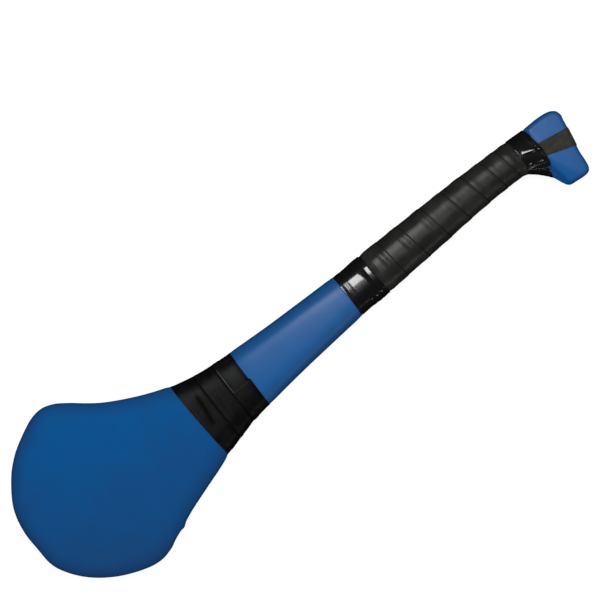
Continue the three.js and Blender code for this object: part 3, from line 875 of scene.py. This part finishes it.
class Finish:
    """A material: its shader's own values, and the nodes that vary it."""

    FIRST_COLOUR, SECOND_COLOUR, MIXED_COLOUR = 6, 7, 2

    def __init__(self, name, **values):
        self.material = bpy.data.materials.new(name)
        self.material.use_nodes = True
        self.tree = self.material.node_tree
        self.shader = self.tree.nodes["Principled BSDF"]
        for key, value in values.items():
            self.shader.inputs[key.replace("_", " ")].default_value = value

    def add(self, kind, settings=None, values=None):
        """Any node. Its settings are set first, and then its sockets get their values or links."""
        node = self.tree.nodes.new(kind)
        for key, value in (settings or {}).items():
            setattr(node, key, value)
        for key, value in (values or {}).items():
            self.feed(node.inputs[key], value)
        return Wire(self, node.outputs[0])

    def feed(self, socket, value):
        if isinstance(value, Wire):
            self.tree.links.new(value.socket, socket)
        else:
            socket.default_value = value

    def vary(self, name, value):
        """What changes over the surface goes into one of the shader's own sockets."""
        self.feed(self.shader.inputs[name], value)

    def place(self):
        return self.add("ShaderNodeTexCoord").out("Object")

    def laid(self):
        """Places on the strip as it was before it was laid, in metres."""
        return self.add("ShaderNodeUVMap", {"uv_map": "Laid"})

    def noise(self, place, scale, detail=2.0, rough=0.5):
        values = {"Vector": place, "Scale": scale, "Detail": detail, "Roughness": rough}
        return self.add("ShaderNodeTexNoise", {}, values)

    def along(self, place):
        """How far a point is towards the butt from the toe of the bas, in metres."""
        return self.add("ShaderNodeSeparateXYZ", {}, {"Vector": place}) - float(STICK[0]) * 0.001

    def up(self, place):
        """How far a point is towards the high edge from the middle of the shaft, in metres."""
        return self.add("ShaderNodeSeparateXYZ", {}, {"Vector": place}).out("Y") - float(STICK[1]) * 0.001

    def mark(self, name):
        return self.add("ShaderNodeAttribute", {"attribute_name": name}).out("Fac")

    def seam(self, reach):
        """1 right beside the edge of the turn that lies on this one, 0 beyond the reach."""
        return self.between(self.mark("from_seam"), 0.0001, reach, 1.0, 0.0)

    def bands(self, place, direction, scale):
        wave = {"wave_type": "BANDS", "bands_direction": direction}
        return self.add("ShaderNodeTexWave", wave, {"Vector": place, "Scale": scale}).out("Fac")

    def between(self, value, low, high, start=0.0, end=1.0):
        """A value carried from one range to another, held at its ends."""
        return self.add(
            "ShaderNodeMapRange",
            {"interpolation_type": "SMOOTHSTEP"},
            {"Value": value, "From Min": low, "From Max": high, "To Min": start, "To Max": end},
        )

    def mixed(self, share, first, second):
        """The first colour, turning into the second as the share grows."""
        colours = {"Factor": share, self.FIRST_COLOUR: first, self.SECOND_COLOUR: second}
        return self.add("ShaderNodeMix", {"data_type": "RGBA"}, colours).out(self.MIXED_COLOUR)

    def relief(self, height, distance, strength=1.0):
        """A fine surface of that depth, in metres, too small to be modelled."""
        bump = self.add("ShaderNodeBump", {}, {"Height": height, "Distance": distance, "Strength": strength})
        self.vary("Normal", bump)


def blue_skin():
    """The moulding's own tough blue skin: mottled, dull on the bas and polished on the shaft. Light and
    shade are painted into its colour: brighter towards the high edge and the neck, darker along the rims,
    and a paler painted sheen on the shaft, brightest down its middle.
    """
    bas_dark, bas_bright = (0.0165, 0.079, 0.25, 1), (0.003, 0.13, 0.425, 1)
    shaft_shaded_edge, shaft_painted_sheen = (0.0085, 0.108, 0.345, 1), (0.014, 0.153, 0.48, 1)
    butt_blue, dark_rim_blue = (0.0125, 0.142, 0.47, 1), (0.012, 0.06, 0.2, 1)
    paint = Finish("moulded_foam_skin", Specular_IOR_Level=0.03, Coat_Roughness=0.37)
    place = paint.place()
    along, up = paint.along(place), paint.up(place)
    rim = paint.mark("from_rim")
    cloud = paint.between(paint.noise(place, 14, 3), 0.3, 0.7)
    patch = paint.between(paint.noise(place, 75, 3, 0.6), 0.3, 0.7)
    speck = paint.noise(place, 1900, 2)
    # Painted light: the colour grows brighter towards the high edge and the neck.
    to_neck = paint.between(along * 0.45 + up * 0.8, -0.03, 0.08)
    # Painted shade: darker near the rim, where the face turns away from the light.
    off_rim = paint.between(rim, 0.001, 0.013, 0.45, 1.0)
    shade = to_neck * off_rim * 0.62 + cloud * 0.24 + patch * 0.14 + speck * 0.06 - 0.03
    colour = paint.mixed(shade, bas_dark, bas_bright)
    # The shaft is polished, and its colour turns paler there: a painted sheen.
    shaft_polish_and_sheen = paint.between(along, 0.14, 0.18)
    sheen_zone = paint.between(along, 0.19, 0.268)
    # Painted sheen down the middle of the shaft, shaded darker towards its rims, a little patchy.
    middle = paint.between(rim, 0.002, 0.011) * 0.8 + patch * 0.2
    colour = paint.mixed(shaft_polish_and_sheen, colour, paint.mixed(middle, shaft_shaded_edge, shaft_painted_sheen))
    colour = paint.mixed(paint.between(along, 0.42, 0.435) * 0.7, colour, butt_blue)
    # Darker in patches right along the rim.
    edge_band = paint.between(rim, 0.0, 0.002, 0.35, 0.0) * patch
    colour = paint.mixed(edge_band, colour, dark_rim_blue)
    paint.vary("Base Color", colour)
    paint.vary("Roughness", 0.5 + patch * 0.08 + speck * 0.06)
    paint.vary("Coat Weight", (shaft_polish_and_sheen * 0.55 + sheen_zone * 0.45) * (1 - paint.mark("flank")))
    pebble = paint.noise(place, 620, 2)
    paint.relief(pebble * 0.6 + speck * 0.4, 0.00012, 0.4)
    return paint.material


def black_cloth_tape():
    """Coated cloth tape: a fine plain weave, with painted shade where the next turn begins and in its folds,
    a painted sheen in one place near the butt side and a painted highlight along the edge of one turn."""
    fresh, scuffed = (0.0045, 0.0047, 0.0055, 1), (0.009, 0.0094, 0.0102, 1)
    painted_sheen_grey, edge_highlight_grey = (0.023, 0.0245, 0.024, 1), (0.16, 0.16, 0.155, 1)
    shade_black = (0.0006, 0.0006, 0.0006, 1)
    tape = Finish("coated_cloth_tape", Specular_IOR_Level=0.17)
    laid, place = tape.laid(), tape.place()
    along, up = tape.along(place), tape.up(place)
    weave = tape.bands(laid, "X", 900)
    weft = tape.bands(laid, "Y", 900)
    scuff = tape.between(tape.noise(place, 160, 4, 0.6), 0.4, 0.75)
    colour = tape.mixed(scuff, fresh, scuffed)
    # A painted sheen: a lighter grey patch near the butt side, on the upper half.
    sheen_zone = tape.between(along, 0.1695, 0.1735) * tape.between(along, 0.178, 0.184, 1.0, 0.0)
    sheen_zone = sheen_zone * tape.between(up, -0.001, 0.007) * tape.between(up, 0.009, 0.017, 1.0, 0.0)
    colour = tape.mixed(sheen_zone * 0.8, colour, painted_sheen_grey)
    # Painted shade: darker beside the edge of the next turn and in the folds.
    painted_seam_shade = tape.seam(0.0026) + tape.between(tape.mark("crease"), 0.05, 0.8) * 0.85
    colour = tape.mixed(painted_seam_shade, colour, shade_black)
    # A painted highlight along the edge of one turn, on its upper half.
    edge = tape.mark("from_edge")
    painted_edge_highlight = tape.between(edge, 0.0, 0.0002) * tape.between(edge, 0.0004, 0.0008, 1.0, 0.0) * tape.mark("edge_band")
    colour = tape.mixed(painted_edge_highlight * (0.5 + scuff * 0.5), colour, edge_highlight_grey)
    tape.vary("Base Color", colour)
    tape.vary("Roughness", 0.32 + scuff * 0.1 + painted_seam_shade * 0.4)
    tape.relief(weave * 0.5 + weft * 0.5, 0.00005, 0.5)
    return tape.material


def glossy_vinyl():
    """Stretched black vinyl tape: deep black, under a gloss that is lost where it is bunched or dusty."""
    clean, dusty = (0.008, 0.008, 0.0085, 1), (0.016, 0.016, 0.016, 1)
    vinyl = Finish("stretched_vinyl_tape", Specular_IOR_Level=0.1, Coat_IOR=1.8, Coat_Roughness=0.15)
    place = vinyl.place()
    pulled = vinyl.noise(place, 260, 1)
    dust = vinyl.between(vinyl.noise(place, 900, 3, 0.7), 0.5, 0.8)
    vinyl.vary("Base Color", vinyl.mixed(dust, clean, dusty))
    vinyl.vary("Roughness", 0.4 + dust * 0.2)
    vinyl.vary("Coat Weight", (1 - vinyl.mark("dull")) * (1 - dust * 0.15))
    vinyl.relief(pulled, 0.00008, 0.08)
    return vinyl.material


def charcoal_grip():
    """The grip strip: soft charcoal, satin, with a fine pebble, wear in the hand and painted shade in its
    seams.
    """
    charcoal, worn_charcoal = (0.0215, 0.021, 0.0195, 1), (0.034, 0.0332, 0.0305, 1)
    shade_black = (0.003, 0.003, 0.003, 1)
    grip = Finish("charcoal_grip", Specular_IOR_Level=0.4)
    place = grip.place()
    wear = grip.between(grip.noise(place, 70, 4, 0.6), 0.35, 0.7)
    fine = grip.noise(place, 1500, 2)
    seam = grip.seam(0.0011)
    # Painted shade in the seams, beside the edge of the next turn.
    grip.vary("Base Color", grip.mixed(seam, grip.mixed(wear, charcoal, worn_charcoal), shade_black))
    held = grip.between(grip.along(place), 0.325, 0.365)
    grip.vary("Roughness", 0.26 + wear * 0.05 + fine * 0.05 + held * 0.07 + seam * 0.3)
    grip.relief(fine, 0.00012, 0.45)
    return grip.material


def matt_butt_tape():
    """The strip over the butt: a dull woven tape, faded towards olive and linty."""
    faded, linty = (0.042, 0.046, 0.034, 1), (0.06, 0.065, 0.048, 1)
    tape = Finish("matt_butt_tape", Specular_IOR_Level=0.1)
    threads = tape.bands(tape.laid(), "X", 700)
    lint = tape.between(tape.noise(tape.place(), 300, 4, 0.6), 0.4, 0.7)
    tape.vary("Base Color", tape.mixed(lint, faded, linty))
    tape.vary("Roughness", 0.62 + lint * 0.1)
    tape.relief(threads * 0.6 + lint * 0.4, 0.00008, 0.6)
    return tape.material


def fibreglass():
    """The rod inside: pale pultruded fibreglass, streaked lengthwise."""
    resin, fibre = (0.45, 0.42, 0.3, 1), (0.7, 0.68, 0.55, 1)
    rod = Finish("pultruded_fibreglass", Specular_IOR_Level=0.5)
    place = rod.place()
    along = rod.add("ShaderNodeMapping", {}, {"Vector": place, "Scale": (20.0, 900.0, 900.0)})
    streak = rod.noise(along, 1.0, 3)
    rod.vary("Base Color", rod.mixed(streak, resin, fibre))
    rod.vary("Roughness", 0.35 + streak * 0.2)
    rod.relief(streak, 0.00005, 0.5)
    return rod.material


# The pieces.

foam_moulding(blue_skin())
neck_tape(black_cloth_tape())
grip_wrap(charcoal_grip())
vinyl = glossy_vinyl()
lower_band(vinyl)
upper_band(vinyl)
butt_strip(matt_butt_tape())

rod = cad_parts["core_rod"]
rod.data.materials.clear()
rod.data.materials.append(fibreglass())

# The floor, the light and the camera, in metres and watts.

FLOOR_SIZE, FLOOR_LEVEL = 60, -0.0003
CAMERA_PLACE, CAMERA_TURN, CAMERA_LENS, SENSOR_WIDTH = (0.0143, 0.009, 1.512), -40, 134.1, 36


def floor():
    """A pale floor that the stick lies on. It glows a little, so that it stays white under the stick."""
    bpy.ops.object.select_all(action="DESELECT")
    bpy.ops.mesh.primitive_plane_add(size=FLOOR_SIZE, location=(0, 0, FLOOR_LEVEL))
    ground = bpy.context.object
    ground.name = "floor"
    ground.visible_diffuse = False
    ground.visible_glossy = False
    pale = Finish(
        "pale_floor",
        Base_Color=(0.35, 0.35, 0.35, 1),
        Roughness=0.9,
        Specular_IOR_Level=0.0,
        Emission_Color=(1, 1, 1, 1),
        Emission_Strength=0.88,
    )
    ground.data.materials.append(pale.material)


def soft_light(name, place, target, width, length, watts):
    """A flat lamp at a place, turned towards its target."""
    bpy.ops.object.light_add(type="AREA", location=place)
    lamp = bpy.context.object
    lamp.name = name
    lamp.data.shape = "RECTANGLE"
    lamp.data.size = width
    lamp.data.size_y = length
    lamp.data.energy = watts
    lamp.rotation_euler = (Vector(target) - Vector(place)).to_track_quat("-Z", "Y").to_euler()


def room():
    """An even soft room, lighter overhead. It fills the shadows and leaves the shine to the lamps."""
    world = bpy.data.worlds.new("dim_room")
    world.use_nodes = True
    nodes, links = world.node_tree.nodes, world.node_tree.links
    sky = nodes["Background"]
    sky.inputs["Color"].default_value = (1, 1, 1, 1)
    side = nodes.new("ShaderNodeSeparateXYZ")
    links.new(nodes.new("ShaderNodeTexCoord").outputs["Generated"], side.inputs[0])
    swell = nodes.new("ShaderNodeMapRange")
    below, above, dimmest, brightest = -0.2, 0.9, 0.24, 0.42
    swell.inputs["From Min"].default_value = below
    swell.inputs["From Max"].default_value = above
    swell.inputs["To Min"].default_value = dimmest
    swell.inputs["To Max"].default_value = brightest
    links.new(side.outputs["Z"], swell.inputs["Value"])
    links.new(swell.outputs[0], sky.inputs["Strength"])
    world.cycles_visibility.glossy = False
    bpy.context.scene.world = world


def studio():
    """The key lamp draws the shine along the shaft and the tapes, the other one lights the low edge."""
    shaft, bas = (0.125, 0.0, 0.0), (-0.1, 0.0, 0.0)
    soft_light("key", (0.125, 0.36, 1.0), shaft, width=0.18, length=0.67, watts=3.5)
    soft_light("low_edge_light", (-0.25, -1.5, 0.45), bas, width=1.3, length=0.08, watts=1.4)
    room()
    bpy.context.scene.view_settings.view_transform = "Standard"


def camera():
    """Straight above, turned so that the stick lies from the lower left to the upper right."""
    bpy.ops.object.camera_add(location=CAMERA_PLACE, rotation=(0, 0, math.radians(CAMERA_TURN)))
    eye = bpy.context.object
    eye.data.lens = CAMERA_LENS
    eye.data.sensor_width = SENSOR_WIDTH
    bpy.context.scene.camera = eye


floor()
studio()
camera()
